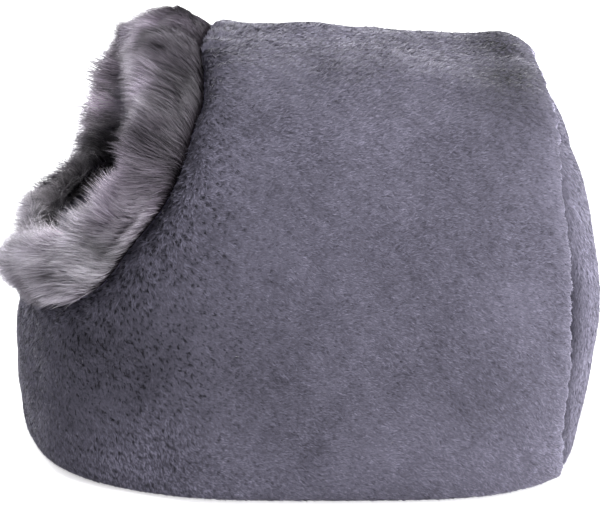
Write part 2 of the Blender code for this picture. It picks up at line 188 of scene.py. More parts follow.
def curve(table, keys, count):
    rows = np.array([table[k] for k in keys]).T
    flip = np.array([-1] + [1] * (len(keys) - 1))
    first = rows[1] * flip if abs(rows[0][0]) < 1e-9 else 2 * rows[0] - rows[1]
    last = rows[-2] * flip if abs(rows[-1][0]) < 1e-9 else 2 * rows[-1] - rows[-2]
    ext = np.vstack([first, rows, last])
    fine = []
    for i in range(1, len(ext) - 2):
        for t in np.linspace(0, 1, 24, endpoint=False):
            a, b, c, d = ext[i - 1], ext[i], ext[i + 1], ext[i + 2]
            fine.append(0.5 * (2 * b + (c - a) * t + (2 * a - 5 * b + 4 * c - d) * t * t + (3 * b - a - 3 * c + d) * t ** 3))
    fine.append(ext[-2])
    fine = np.array(fine)
    run = np.concatenate([[0], np.cumsum(np.linalg.norm(np.diff(fine[:, :3], axis=0), axis=1))])
    want = np.linspace(0, run[-1], count + 1) if np.isscalar(count) else np.array(count) * run[-1]
    return np.stack([np.interp(want, run, fine[:, k]) for k in range(fine.shape[1])], 1)


def plan_edge(angles, count):
    ray = np.stack([np.sin(angles), -np.cos(angles)], 1)
    reach = np.where(ray[:, 1] < 0, BODY["front"][0], BODY["rear"][0])
    power = np.where(ray[:, 1] < 0, BODY["plan_front"][0], BODY["plan_rear"][0])
    size = ((np.abs(ray[:, 0]) / BODY["half_width"][0]) ** power + (np.abs(ray[:, 1]) / reach) ** power) ** (-1 / power)
    edge = ray * size[:, None]
    run = np.concatenate([[0], np.cumsum(np.linalg.norm(np.diff(edge, axis=0), axis=1))])
    want = np.linspace(0, run[-1], count + 1)
    return np.stack([np.interp(want, run, edge[:, 0]), np.interp(want, run, edge[:, 1]), np.zeros(count + 1)], 1)


def whole(half):
    return np.vstack([half, half[1:-1][::-1] * np.array([-1, 1, 1])])


def lift_of(table, distance):
    return np.interp(distance, table["distance"], table["lift"])


def waves(p, length, seed, count=14):
    """Smooth noise of unit spread from sines, with features about length across."""
    r = np.random.default_rng(seed)
    d = unit(r.normal(size=(count, 3)))
    k = 2 * math.pi / (length * r.uniform(0.7, 1.6, count))
    phase = r.uniform(0, 2 * math.pi, count)
    flat = p.reshape(-1, 3)
    out = np.zeros(len(flat))
    for i in range(count):
        out += np.sin(flat @ d[i] * k[i] + phase[i])
    return (out * math.sqrt(2 / count)).reshape(p.shape[:-1])


def ramp(value, low, high):
    t = np.clip((value - low) / (high - low), 0, 1)
    return t * t * (3 - 2 * t)


def settle(p, extra=0.0, belly=0.0):
    """The crown's rear corner sits a little further forward and higher, and the foot of the front bellies out."""
    q = p.copy()
    x, y, z = p[..., 0], p[..., 1], p[..., 2]
    uneven = 1 - 0.95 * np.exp(-((x - 0.006) / 0.048) ** 2) + 0.34 * ramp(-x, 0.02, 0.07)
    q[..., 1] -= (0.0085 * uneven * ramp(z, 0.264, 0.299) + extra * ramp(z, 0.220, 0.275)) * ramp(y, 0.13, 0.195)
    q[..., 1] += belly * (0.0022 * ramp(0.16 - z, 0.0, 0.05) + 0.0042 * np.exp(-((z - 0.195) / 0.042) ** 2)) * ramp(y, 0.15, 0.195)
    q[..., 1] += 0.0036 * np.exp(-(z / 0.032) ** 2) * ramp(y, 0.15, 0.20)
    q[..., 1] -= (0.0032 * np.exp(-((z - 0.018) / 0.028) ** 2) + 0.0016 * np.exp(-((z - 0.060) / 0.022) ** 2)) * ramp(-y, 0.13, 0.19)
    q[..., 2] += 0.0008 * ramp(z, 0.25, 0.30) * np.exp(-((y - 0.100) / 0.045) ** 2)
    q[..., 2] += 0.0058 * ramp(z, 0.25, 0.29) * ramp(-x, 0.01, 0.08) * np.exp(-((y - 0.171) / 0.022) ** 2)
    return q


# ------------------------------------------------------------------ mesh helpers
def ring_quads(rows, cols, closed=True):
    i = np.arange(cols if closed else cols - 1)
    j = (i + 1) % cols
    faces = []
    for k in range(rows - 1):
        faces.append(np.stack([k * cols + i, k * cols + j, (k + 1) * cols + j, (k + 1) * cols + i], 1))
    return np.vstack(faces)


def build_mesh(name, vertices, polygons, material, colours=None, smooth=True):
    """polygons is a list of integer arrays, each of one corner count."""
    mesh = bpy.data.meshes.new(name)
    mesh.vertices.add(len(vertices))
    mesh.vertices.foreach_set("co", np.asarray(vertices, dtype=np.float32).ravel())
    loops = np.concatenate([p.ravel() for p in polygons]).astype(np.int32)
    totals = np.concatenate([np.full(len(p), p.shape[1]) for p in polygons]).astype(np.int32)
    starts = np.concatenate([[0], np.cumsum(totals)[:-1]]).astype(np.int32)
    mesh.loops.add(len(loops))
    mesh.loops.foreach_set("vertex_index", loops)
    mesh.polygons.add(len(totals))
    mesh.polygons.foreach_set("loop_start", starts)
    mesh.polygons.foreach_set("use_smooth", np.full(len(totals), smooth, dtype=bool))
    mesh.update(calc_edges=True)
    if colours is not None:
        layer = mesh.color_attributes.new("tone", "FLOAT_COLOR", "POINT")
        rgba = np.ones((len(vertices), 4), dtype=np.float32)
        rgba[:, :3] = colours
        layer.data.foreach_set("color", rgba.ravel())
        mesh.color_attributes.active_color = layer
    mesh.materials.append(material)
    thing = bpy.data.objects.new(name, mesh)
    bpy.context.scene.collection.objects.link(thing)
    return thing


def tone_material(name, roughness, sheen=0.0, sheen_rough=0.5, sheen_tint=(1, 1, 1), bump=None, specular=0.25):
    material = bpy.data.materials.new(name)
    material.use_nodes = True
    tree = material.node_tree
    shader = tree.nodes["Principled BSDF"]
    shader.inputs["Roughness"].default_value = roughness
    shader.inputs["Specular IOR Level"].default_value = specular
    shader.inputs["Sheen Weight"].default_value = sheen
    shader.inputs["Sheen Roughness"].default_value = sheen_rough
    shader.inputs["Sheen Tint"].default_value = (*sheen_tint, 1)
    tone = tree.nodes.new("ShaderNodeVertexColor")
    tone.layer_name = "tone"
    tree.links.new(tone.outputs["Color"], shader.inputs["Base Color"])
    if bump:
        scale, strength, distance = bump
        place = tree.nodes.new("ShaderNodeTexCoord")
        noise = tree.nodes.new("ShaderNodeTexNoise")
        noise.inputs["Scale"].default_value = scale
        noise.inputs["Detail"].default_value = 3.0
        noise.inputs["Roughness"].default_value = 0.6
        raise_ = tree.nodes.new("ShaderNodeBump")
        raise_.inputs["Strength"].default_value = strength
        raise_.inputs["Distance"].default_value = distance
        tree.links.new(place.outputs["Object"], noise.inputs["Vector"])
        tree.links.new(noise.outputs["Fac"], raise_.inputs["Height"])
        tree.links.new(raise_.outputs["Normal"], shader.inputs["Normal"])
    return material


def to_row(p):
    return p + np.array([0.0, ROW_Y, 0.0])


def grid_normals(p):
    """Normals of a ring grid (rows x columns), columns closed."""
    across = np.roll(p, -1, 1) - np.roll(p, 1, 1)
    down = np.gradient(p, axis=0)
    return unit(np.cross(across, down))


# ------------------------------------------------------------------ colours (linear)
PLUSH = np.array([0.1365, 0.1295, 0.1735])
PLUSH_ROOT = np.array([0.040, 0.037, 0.054])
FUR_ROOT = np.array([0.036, 0.028, 0.037])
FUR_MID = np.array([0.112, 0.092, 0.123])
FUR_TIP = np.array([0.360, 0.342, 0.380])
CABIN_PAINTED_LIGHT = 2.0             # painted light: the cabin's inside is coloured this much paler than the pile outside, standing in for light reaching into it

plush_back = tone_material("plush_backing", 1.0, bump=(420.0, 0.6, 0.0012), specular=0.1)
plush_pile = tone_material("plush_pile", 0.85, sheen=0.42, sheen_rough=0.34, sheen_tint=(0.93, 0.92, 1.0), specular=0.15)
fur_back = tone_material("fur_backing", 1.0, specular=0.05)
fur_hair = tone_material("fur_hair", 0.62, sheen=0.06, sheen_rough=0.4, specular=0.18)


# ------------------------------------------------------------------ panels
HALF_BASE = 72
HALF_ARCH = 120


def hood_form():
    """Rings of the hood's outer form, with normals and distances from its two edges."""
    corner = math.atan2(ARCH["x"][0], -ARCH["y"][0])
    base = plan_edge(np.linspace(0, corner, 600), HALF_BASE)
    arch = on_body(direction_of(curve(ARCH, ("x", "y", "z"), HALF_ARCH)))
    arch[0] = base[-1]
    outer = whole(np.vstack([base, arch[1:]]))
    share = np.concatenate([np.linspace(0, MOUTH_AT_CORNER, HALF_BASE + 1),
                            np.linspace(MOUTH_AT_CORNER, 1, HALF_ARCH + 1)[1:]])
    mouth = on_body(direction_of(whole(curve(MOUTH, ("x", "y", "z"), share))))
    ts = np.concatenate([[0, 0.006, 0.014, 0.024, 0.038, 0.056, 0.08, 0.11, 0.145],
                         np.linspace(0.18, 0.86, 30),
                         [0.888, 0.912, 0.932, 0.949, 0.963, 0.974, 0.983, 0.990, 0.9955, 1.0]])
    da, db = direction_of(mouth), direction_of(outer)
    rings = np.array([on_body(slide(da, db, t)) for t in ts])
    rings[0], rings[-1] = mouth, outer
    n = len(outer)
    low = outer[:, 2] < 0.001
    outer_n = body_normal(outer + np.array([0, 0, 1]) * np.where(outer[:, 2:3] < 0.02, 0.02, 0))
    outer_n[low, 2] = 0
    outer_n = unit(outer_n)
    normals = np.array([body_normal(r) for r in rings])
    normals[-1] = outer_n
    from_mouth = np.zeros(rings.shape[:2])
    from_mouth[1:] = np.cumsum(np.linalg.norm(np.diff(rings, axis=0), axis=2), axis=0)
    from_outer = from_mouth[-1] - from_mouth
    near = np.exp(-from_outer / 0.018)[:, :, None]
    normals = unit(normals * (1 - 0.9 * near) + outer_n[None] * 0.9 * near)
    floor = np.zeros(n)
    floor[:HALF_BASE] = 1
    floor[n - HALF_BASE + 1:] = 1
    for _ in range(3):
        floor = np.maximum(floor, (np.roll(floor, 1) + np.roll(floor, -1)) / 2 * 0.9)
    floor[:HALF_BASE - 1] = 1
    floor[n - HALF_BASE + 2:] = 1
    return rings, normals, from_mouth, from_outer, floor, low


rings, hood_n, from_mouth, from_outer, on_floor, hood_low = hood_form()
seam_run = np.concatenate([[0], np.cumsum(np.linalg.norm(np.diff(rings[-1], axis=0), axis=1))])
pucker = (np.sin(seam_run * 2 * math.pi / 0.0135 + 1.9 * waves(rings[-1], 0.06, 3))
          + 0.6 * np.sin(seam_run * 2 * math.pi / 0.0231 + 1.1))
lift = (lift_of(PUFF_MOUTH, from_mouth) + on_floor * lift_of(PUFF_BASE, from_outer)
        + (1 - on_floor) * lift_of(PUFF_HOOD, from_outer))
flat_p = rings.reshape(-1, 3)
dent = dented(flat_p).reshape(rings.shape[:2]) * np.clip(from_outer / 0.03, 0, 1) * np.clip(from_mouth / 0.03, 0, 1)
inner_part = np.clip(from_outer / 0.02, 0, 1) * np.clip(from_mouth / 0.02, 0, 1)
soft = (0.0010 * waves(rings, 0.110, 5) + 0.0006 * waves(rings, 0.045, 6) + 0.00025 * waves(rings, 0.016, 7)) * inner_part
# the side panels belly a little more between their seams than the plain form
bow = np.clip(1 - ((rings[:, :, 1] - 0.02) / 0.175) ** 2, 0, 1) * hood_n[:, :, 0] ** 2
bow = bow * np.clip(rings[:, :, 2] / 0.05, 0, 1) * np.clip((0.30 - rings[:, :, 2]) / 0.08, 0, 1)
soft += 0.0048 * bow * inner_part
soft += (1 - on_floor)[None] * 0.0003 * pucker[None] * np.exp(-((from_outer - 0.004) / 0.012) ** 2)
soft += 0.0007 * waves(rings, 0.018, 8) * np.exp(-((from_mouth - 0.006) / 0.014) ** 2)
to_edge = unit(np.gradient(rings, axis=0))
roll = (1 - on_floor)[None] * (0.0046 + 0.0008 * pucker[None] + 0.0004 * waves(rings[-1], 0.007, 17)[None]) * np.exp(-((from_outer - 0.0035) / 0.0045) ** 2)
hood_out = rings + hood_n * (lift - dent + soft - PILE)[:, :, None] + to_edge * roll[:, :, None]
hood_out = settle(hood_out, belly=1.0)
hood_out[-1][hood_low, 2] = 0.0006
tuck = 0.0065 * np.exp(-from_outer / 0.008) * (1 - on_floor)[None]
hood_in = rings + hood_n * (-WALL - tuck + 0.0010 * waves(rings, 0.09, 9) * inner_part)[:, :, None]
hood_in = settle(hood_in, belly=1.0)
hood_in[-1][hood_low, 2] = 0.0006
# the inner face needs fewer rings
keep = np.unique(np.concatenate([[0, 2, 4, 6], np.arange(8, len(rings) - 8, 3), [len(rings) - 8, len(rings) - 5, len(rings) - 3, len(rings) - 1]]))
hood_in_rows = hood_in[keep]


def plush_tone(p, root=0.84):
    cloud = 1 + 0.030 * waves(p, 0.110, 31) + 0.025 * waves(p, 0.045, 32) + 0.03 * waves(p, 0.016, 33)
    return PLUSH * root * cloud[..., None]


nr, nc = hood_out.shape[:2]
mr = len(hood_in_rows)
vertices = np.vstack([hood_out.reshape(-1, 3), hood_in_rows.reshape(-1, 3)])
quads_out = ring_quads(nr, nc)[:, ::-1]
quads_in = ring_quads(mr, nc) + nr * nc
i = np.arange(nc)
j = (i + 1) % nc
rim_mouth = np.stack([i, j, nr * nc + j, nr * nc + i], 1)
rim_outer = np.stack([(nr - 1) * nc + j, (nr - 1) * nc + i, nr * nc + (mr - 1) * nc + i, nr * nc + (mr - 1) * nc + j], 1)
tone = plush_tone(vertices)
# painted shade: the hood's outer backing is darker toward the front and in the groove at the rear seam
tone[:nr * nc] *= (1 - 0.16 * ramp(-rings[:, :, 1], 0.0, 0.12)).reshape(-1, 1)
tone[:nr * nc] *= (1 - 0.80 * np.exp(-(from_outer / 0.0014) ** 2) * (1 - on_floor)[None]).reshape(-1, 1)
# painted light: the cabin's inner face is coloured paler
tone[nr * nc:] *= CABIN_PAINTED_LIGHT
hood = build_mesh("hood_plush_panel", to_row(vertices), [quads_out, quads_in, rim_mouth, rim_outer], plush_back, tone)
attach(hood, "root")
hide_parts("hood_panel")


def rear_form():
    arch = on_body(direction_of(curve(ARCH, ("x", "y", "z"), HALF_ARCH)))
    corner = math.atan2(ARCH["x"][0], -ARCH["y"][0])
    floor_half = plan_edge(np.linspace(corner, math.pi, 400), HALF_BASE // 2)
    arch[0] = floor_half[0]
    loop = whole(np.vstack([arch[::-1], floor_half[1:]]))
    low = loop[:, 2] < 0.001
    loop_n = body_normal(loop + np.array([0, 0, 1]) * np.where(loop[:, 2:3] < 0.02, 0.02, 0))
    loop_n[low, 2] = 0
    loop_n = unit(loop_n)
    middle = on_body(np.array([[0.0, 1.0, 0.02]]))
    ts = np.concatenate([[0, 0.010, 0.024, 0.042, 0.066, 0.098, 0.14], np.linspace(0.19, 0.97, 18)])
    dm, dl = np.repeat(direction_of(middle), len(loop), 0), direction_of(loop)
    rr = np.array([loop if t == 0 else on_body(slide(dl, dm, t)) for t in ts])
    run = np.zeros(rr.shape[:2])
    run[1:] = np.cumsum(np.linalg.norm(np.diff(rr, axis=0), axis=2), axis=0)
    rn = np.array([body_normal(r) for r in rr])
    rn[0] = loop_n
    near = np.exp(-run / 0.018)[:, :, None]
    rn = unit(rn * (1 - 0.9 * near) + loop_n[None] * 0.9 * near)
    bottom = np.zeros(len(loop))
    bottom[HALF_ARCH + 1:len(loop) - HALF_ARCH] = 1
    return rr, rn, run, bottom, low, middle[0]


rear, rear_n, rear_run, rear_bottom, rear_low, rear_mid = rear_form()
lift = (1 - rear_bottom) * lift_of(PUFF_REAR, rear_run) + rear_bottom * lift_of(PUFF_BASE, rear_run)
inner_part = np.clip(rear_run / 0.02, 0, 1)
fold_run = np.concatenate([[0], np.cumsum(np.linalg.norm(np.diff(rear[0], axis=0), axis=1))])
rear_pucker = np.sin(fold_run * 2 * math.pi / 0.0150 + 1.7 * waves(rear[0], 0.06, 12)) + 0.5 * np.sin(fold_run * 2 * math.pi / 0.026)
soft = (0.0009 * waves(rear, 0.10, 15) + 0.0005 * waves(rear, 0.045, 16)) * inner_part
soft += 0.0024 * np.exp(-((rear[:, :, 2] - 0.215) / 0.065) ** 2) * ramp(rear_run, 0.015, 0.05)
soft += (1 - rear_bottom)[None] * 0.0005 * rear_pucker[None] * np.exp(-((rear_run - 0.010) / 0.012) ** 2)
rear_out = rear + rear_n * (lift + soft - PILE)[:, :, None]
rear_in = rear + rear_n * (-WALL - 0.0070 * np.exp(-rear_run / 0.012) * (1 - rear_bottom)[None])[:, :, None]
rear_out, rear_in = settle(rear_out, 0.0125), settle(rear_in, 0.0125)
for face in (rear_out, rear_in):
    face[0][rear_low, 2] = 0.0006
rr_n, rc_n = rear_out.shape[:2]
keep_r = np.unique(np.concatenate([[0, 2, 4, 6], np.arange(8, rr_n - 1, 3), [rr_n - 1]]))
rear_in_rows = rear_in[keep_r]
qr = len(keep_r)
vertices = np.vstack([rear_out.reshape(-1, 3), rear_in_rows.reshape(-1, 3),
                      [rear_mid - np.array([0, PILE, 0])], [rear_mid - np.array([0, WALL, 0])]])
i = np.arange(rc_n)
j = (i + 1) % rc_n
quads_out = ring_quads(rr_n, rc_n)[:, ::-1]
quads_in = ring_quads(qr, rc_n) + rr_n * rc_n
rim = np.stack([i, j, rr_n * rc_n + j, rr_n * rc_n + i], 1)
tip, tip_in = len(vertices) - 2, len(vertices) - 1
fan = np.stack([(rr_n - 1) * rc_n + j, (rr_n - 1) * rc_n + i, np.full(rc_n, tip)], 1)
last = rr_n * rc_n + (qr - 1) * rc_n
fan_in = np.stack([last + i, last + j, np.full(rc_n, tip_in)], 1)
# painted light: the rear panel is coloured a little paler; painted shade darkens its outer backing in the groove along
# the seam, and painted light makes the cabin's inner face paler
tone = plush_tone(vertices) * 1.04
tone[:rr_n * rc_n] *= (1 - 0.90 * np.exp(-(rear_run / 0.0125) ** 2) * (1 - rear_bottom)[None]).reshape(-1, 1)
tone[rr_n * rc_n:] *= CABIN_PAINTED_LIGHT
rear_piece = build_mesh("rear_plush_panel", to_row(vertices), [quads_out, quads_in, rim, fan, fan_in], plush_back, tone)
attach(rear_piece, "root")
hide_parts("rear_panel")

# base panel: softly padded plate inside the hems
hem_front = hood_in[-1][:HALF_BASE + 1]
hem_rear = rear_in[0][HALF_ARCH:HALF_ARCH + HALF_BASE // 2 + 1]
plan = whole(np.vstack([hem_front[:-1], (hem_front[-1:] + hem_rear[:1]) / 2, hem_rear[1:]]))
plan[:, 2] = 0
side = np.roll(plan, -1, 0) - np.roll(plan, 1, 0)
inward = unit(np.stack([-side[:, 1], side[:, 0], np.zeros(len(side))], 1))
inward *= np.sign((inward * -plan).sum(1))[:, None]
edge = plan + inward * 0.0015
levels = [(0.0, 0.5), (0.0, 0.93), (0.0006, 0.965), (0.003, 0.99), (0.0060, 0.995), (0.0085, 0.98), (0.0100, 0.93), (0.0108, 0.75), (0.0110, 0.5), (0.0110, 0.2), (0.0110, 0.02)]
rows = []
centre = np.array([0.0, 0.0, 0.0])
for z, share in levels:
    row = edge * share
    row[:, 2] = z + (0.0012 * waves(row, 0.07, 44) if z > 0.009 else 0)
    rows.append(row)
rows = np.array(rows)
br, bc = rows.shape[:2]
vertices = np.vstack([rows.reshape(-1, 3), [[0, 0, 0]], [[0, 0, 0.011]]])
i = np.arange(bc)
j = (i + 1) % bc
# painted light: the base's top inside the cabin is coloured paler
base_piece = build_mesh("base_plush_panel", to_row(vertices),
                        [ring_quads(br, bc), np.stack([j, i, np.full(bc, br * bc)], 1),
                         np.stack([(br - 1) * bc + i, (br - 1) * bc + j, np.full(bc, br * bc + 1)], 1)],
                        plush_back, plush_tone(vertices) * (1 + (CABIN_PAINTED_LIGHT - 1) * ramp(vertices[:, 2], 0.008, 0.010))[:, None])
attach(base_piece, "root")
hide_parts("base_panel")


# ------------------------------------------------------------------ short pile
def sample(grid, normals, count, weight=None, closed=True):
    """Random places on a ring grid, even by area: each place's cell row and column, and where in the cell it lies."""
    nxt = np.roll(grid, -1, 1)
    d1 = nxt[1:] - grid[:-1]
    d2 = grid[1:] - nxt[:-1]
    area = np.linalg.norm(np.cross(d1, d2), axis=2) / 2
    if weight is not None:
        area = area * weight[:-1]
    cum = np.cumsum(area.ravel())
    picks = np.searchsorted(cum, (np.arange(count) + rng.random(count)) / count * cum[-1])
    picks = np.clip(picks, 0, len(cum) - 1)
    r, c = np.divmod(picks, grid.shape[1])
    return r, c, rng.random(count), rng.random(count)


def read(field, r, c, u, v):
    c2 = (c + 1) % field.shape[1]
    if field.ndim == 3:
        u, v = u[:, None], v[:, None]
    return (field[r, c] * (1 - u) * (1 - v) + field[r, c2] * u * (1 - v)
            + field[r + 1, c] * (1 - u) * v + field[r + 1, c2] * u * v)


def blades(name, grid, normals, nap, count, length=0.0034, width=0.00092, stand=0.25, tousle=None, painted_light_gain=1.0,
           weight=None, floor_clear=True, mask=None, shorten=None, shade_field=None, grain=0.27, nubs=None, stir=1.0, facing=0.20):
    """Short pile: single tapered blades, leaning with the nap and clumped by noise."""
    r, c, u, v = sample(grid, normals, count, weight)
    p, n, w = read(grid, r, c, u, v), unit(read(normals, r, c, u, v)), read(nap, r, c, u, v)
    if mask is not None:
        ok = mask(p)
        r, c, u, v, p, n, w = r[ok], c[ok], u[ok], v[ok], p[ok], n[ok], w[ok]
        count = len(p)
    t = read(tousle, r, c, u, v) if tousle is not None else np.zeros(count)
    short = read(shorten, r, c, u, v) if shorten is not None else np.ones(count)
    dim = read(shade_field, r, c, u, v) if shade_field is not None else np.ones(count)
    w = unit(w - n * (w * n).sum(1)[:, None])
    b = np.cross(n, w)
    nub = read(nubs, r, c, u, v) if nubs is not None else np.full(count, 0.04)
    turn = stir * (0.16 * waves(p, 0.0070, 51) + 0.14 * waves(p, 0.0030, 52) + 0.10 * waves(p, 0.035, 53)
            + rng.normal(0, 0.17, count)) * (1 + 1.6 * t)
    lean = w * np.cos(turn)[:, None] + b * np.sin(turn)[:, None]
    up = stand + 0.04 * waves(p, 0.0052, 54) + rng.normal(0, 0.10, count) + 0.40 * t
    d = unit(lean + n * np.clip(up, 0.08, 2.0)[:, None])
    size = length * (1 + 0.08 * waves(p, 0.012, 55) + rng.normal(0, 0.16, count)) * (1 + 0.22 * t) * short
    tip = p + d * size[:, None]
    # painted shade: dark gaps between the pile's tufts, read where each blade shows
    shows = (p + d * (size * 0.65)[:, None]) * np.array([1.0, 1.0, 0.62])
    crevice = np.clip(waves(shows, 0.0030, 58, 24), 0, 1.8)
    clump = 0.25 * waves(shows, 0.0060, 57, 20) + 0.50 - 1.35 * crevice
    if floor_clear:
        tip[:, 2] = np.maximum(tip[:, 2], 0.0004)
    across = unit(np.cross(d, n))
    twist = rng.normal(0, 0.35, count)
    across = across * np.cos(twist)[:, None] + np.cross(d, across) * np.sin(twist)[:, None]
    half = (width / 2 * (1 + rng.normal(0, 0.15, count)) * (1 + 0.3 * np.clip(nub - 0.06, 0, 1)))[:, None]
    a, e = p - across * half - n * 0.0004, p + across * half - n * 0.0004
    flip = (np.cross(e - a, tip - a) * n).sum(1) < 0
    a[flip], e[flip] = e[flip].copy(), a[flip].copy()
    vertices = np.stack([a, e, tip], 1).reshape(-1, 3)
    if floor_clear:
        vertices[:, 2] = np.maximum(vertices[:, 2], 0.0003)
    cloud = 1 + 0.030 * waves(p, 0.110, 31) + 0.025 * waves(p, 0.045, 32) + 0.035 * waves(p, 0.016, 33)
    # the blade's colour takes painted light from the gain argument and painted shade from the shade field
    cloud = cloud * np.clip(1 + rng.normal(0, 1, count) * grain * (1 - 1.9 * np.clip(nub - 0.06, 0, 0.32)), 0.3, 1.9) * np.clip(1 + nub * clump, 0.22, 1.6) * painted_light_gain * dim
    colour = np.empty((count, 3, 3))
    deep = (0.36 + 0.36 * np.clip(t, 0, 1))[:, None]
    colour[:, 0] = colour[:, 1] = PLUSH * (1 - deep) + PLUSH_ROOT * deep
    colour[:, 2] = PLUSH * (1.22 + 0.20 * np.clip(t, 0, 1))[:, None]
    colour *= cloud[:, None, None]
    thing = build_mesh(name, to_row(vertices), [np.arange(count * 3).reshape(-1, 3)], plush_pile, colour.reshape(-1, 3), smooth=True)
    geo = unit(np.cross(vertices[1::3] - vertices[0::3], vertices[2::3] - vertices[0::3]))
    geo *= np.sign((geo * n).sum(1))[:, None]
    uneven = facing * (1 - 0.45 * ramp(p[:, 2], 0.245, 0.285))[:, None]
    shade = unit(geo * uneven + n * (1 - uneven) + rng.normal(0, 1, (count, 3)) * uneven)
    thing.data.normals_split_custom_set_from_vertices(np.repeat(shade, 3, 0).tolist())
    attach(thing, "root")
    return thing


down = np.array([0, 0, -1.0])
back = np.array([0, 1.0, 0])
fall = 0.10 + 1.0 * ramp(-rings[:, :, 1], 0.03, 0.15) + 0.65 * ramp(rings[:, :, 1], 0.04, 0.17) * ramp(0.20 - rings[:, :, 2], 0.0, 0.12)
nap = back + down * fall[:, :, None]
# near the mouth the pile is brushed along the seam, near the rear seam it leans over the edge
along = unit(np.roll(rings, -1, 1) - np.roll(rings, 1, 1))
along_up = along * np.sign(along[:, :, 2:3] + 1e-6)
near_mouth = np.exp(-(from_mouth / 0.022) ** 2)[:, :, None]
near_rear = (np.exp(-(from_outer / 0.012) ** 2) * (1 - on_floor)[None])[:, :, None]
nap = nap * (1 - near_mouth) - along_up * near_mouth * 0.9 + to_edge * near_mouth * 0.3
nap = nap * (1 - near_rear) + to_edge * near_rear
tousle = np.exp(-(from_mouth / 0.030) ** 2) * (0.9 - 0.6 * ramp(rings[:, :, 2], 0.25, 0.30)) + 0.18 * np.clip(waves(rings, 0.08, 61), 0, 2)
hood_grid_n = grid_normals(hood_out)
hood_grid_n *= np.sign((hood_grid_n * hood_n).sum(2))[:, :, None]
weight = np.where(rings[:, :, 0] > -0.02, 1.0, 0.72)
short_hood = 1 - 0.40 * np.exp(-(from_outer / 0.008) ** 2) * (1 - on_floor)[None] - 0.14 * ramp(-rings[:, :, 1], 0.02, 0.12)
# painted light and shade in the hood pile's colour: a painted highlight along the rolled rim at the rear seam and
# painted shade in the groove beside it; painted shade toward the front, at the crown's rear corner, under the collar,
# beside the mouth's top and at the front's lower corner; painted light low down where the floor throws light, and on
# the shoulder
painted_rim_highlight = 2.8 * np.exp(-((from_outer - 0.0026) / 0.0018) ** 2)
ax = np.abs(rings[:, :, 0])
painted_shading = 1 - 0.13 * ramp(-rings[:, :, 1], -0.05, 0.10)
painted_light_and_shade_patches = 0.10 * np.exp(-(((rings[:, :, 1] - 0.160) / 0.045) ** 2 + ((rings[:, :, 2] - 0.262) / 0.045) ** 2)) * ramp(ax, 0.07, 0.12)
painted_light_and_shade_patches += 0.28 * np.exp(-(((rings[:, :, 1] - 0.160) / 0.030) ** 2 + ((rings[:, :, 2] - 0.285) / 0.024) ** 2)) * ramp(ax, -0.02, 0.05)
painted_light_and_shade_patches += 0.80 * np.exp(-(((rings[:, :, 1] - 0.157) / 0.028) ** 2 + ((ax - 0.040) / 0.045) ** 2)) * ramp(rings[:, :, 2], 0.26, 0.285)
painted_light_and_shade_patches += 0.16 * np.exp(-(((rings[:, :, 1] + 0.115) / 0.035) ** 2 + ((rings[:, :, 2] - 0.145) / 0.026) ** 2))
painted_light_and_shade_patches += 0.24 * np.exp(-(from_mouth / 0.030) ** 2) * ramp(rings[:, :, 2], 0.25, 0.30)
painted_light_and_shade_patches += 0.49 * np.exp(-(((rings[:, :, 1] + 0.160) / 0.044) ** 2 + ((rings[:, :, 2] - 0.102) / 0.060) ** 2))
painted_light_and_shade_patches += 0.20 * np.exp(-(((rings[:, :, 1] + 0.060) / 0.050) ** 2 + ((rings[:, :, 2] - 0.108) / 0.060) ** 2))
painted_light_and_shade_patches -= 0.26 * ramp(rings[:, :, 1], 0.07, 0.18) * ramp(0.095 - rings[:, :, 2], 0.0, 0.08)
painted_light_and_shade_patches -= 0.44 * np.exp(-((rings[:, :, 1] + 0.100) / 0.050) ** 2) * ramp(0.100 - rings[:, :, 2], 0.0, 0.07)
painted_shoulder_light = 0.08 * np.exp(-(((rings[:, :, 1] - 0.02) / 0.08) ** 2 + ((rings[:, :, 2] - 0.285) / 0.035) ** 2))
painted_shading = painted_shading - painted_light_and_shade_patches + painted_shoulder_light
painted_light_and_shade = painted_shading + (painted_rim_highlight - 0.60 * np.exp(-(from_outer / 0.0010) ** 2)) * (1 - on_floor)[None]
nubs = (0.15 + 0.33 * ramp(-rings[:, :, 1], 0.0, 0.12) + 0.16 * np.exp(-(from_mouth / 0.035) ** 2)) * ramp(from_outer + 0.02 * on_floor[None], 0.004, 0.02)
near_pile = blades("hood_pile_near", hood_out, hood_grid_n, nap, 196000, tousle=tousle, mask=lambda p: p[:, 0] > 0, nubs=nubs,
                   weight=np.where(rings[:, :, 0] > -0.01, 1.0, 0.0), shorten=short_hood, shade_field=painted_light_and_shade)
far_pile = blades("hood_pile_far", hood_out, hood_grid_n, nap, 112000, tousle=tousle, width=0.0014, mask=lambda p: p[:, 0] <= 0, nubs=nubs,
                  weight=np.where(rings[:, :, 0] < 0.01, 1.0, 0.0), shorten=short_hood, shade_field=painted_light_and_shade)

rear_grid_n = grid_normals(rear_out)
rear_grid_n *= np.sign((rear_grid_n * rear_n).sum(2))[:, :, None]
rear_nap = np.broadcast_to(down * 0.8 + np.array([0.25, 0, 0]), rear_out.shape).copy()
seam_side = (1 - rear_bottom)[None]
# painted light: the rear pile is coloured paler; painted shade darkens it in the groove along the seam
rear_pile = blades("rear_pile", rear_out, rear_grid_n, rear_nap, 90000, painted_light_gain=1.40, width=0.0012, grain=0.16, stir=0.25, facing=0.11,
                   tousle=0.10 * np.exp(-(rear_run / 0.02) ** 2),
                   shorten=1 - 0.62 * np.exp(-(rear_run / 0.009) ** 2) * seam_side,
                   shade_field=1 - 0.97 * np.exp(-(rear_run / 0.0155) ** 2) * seam_side)

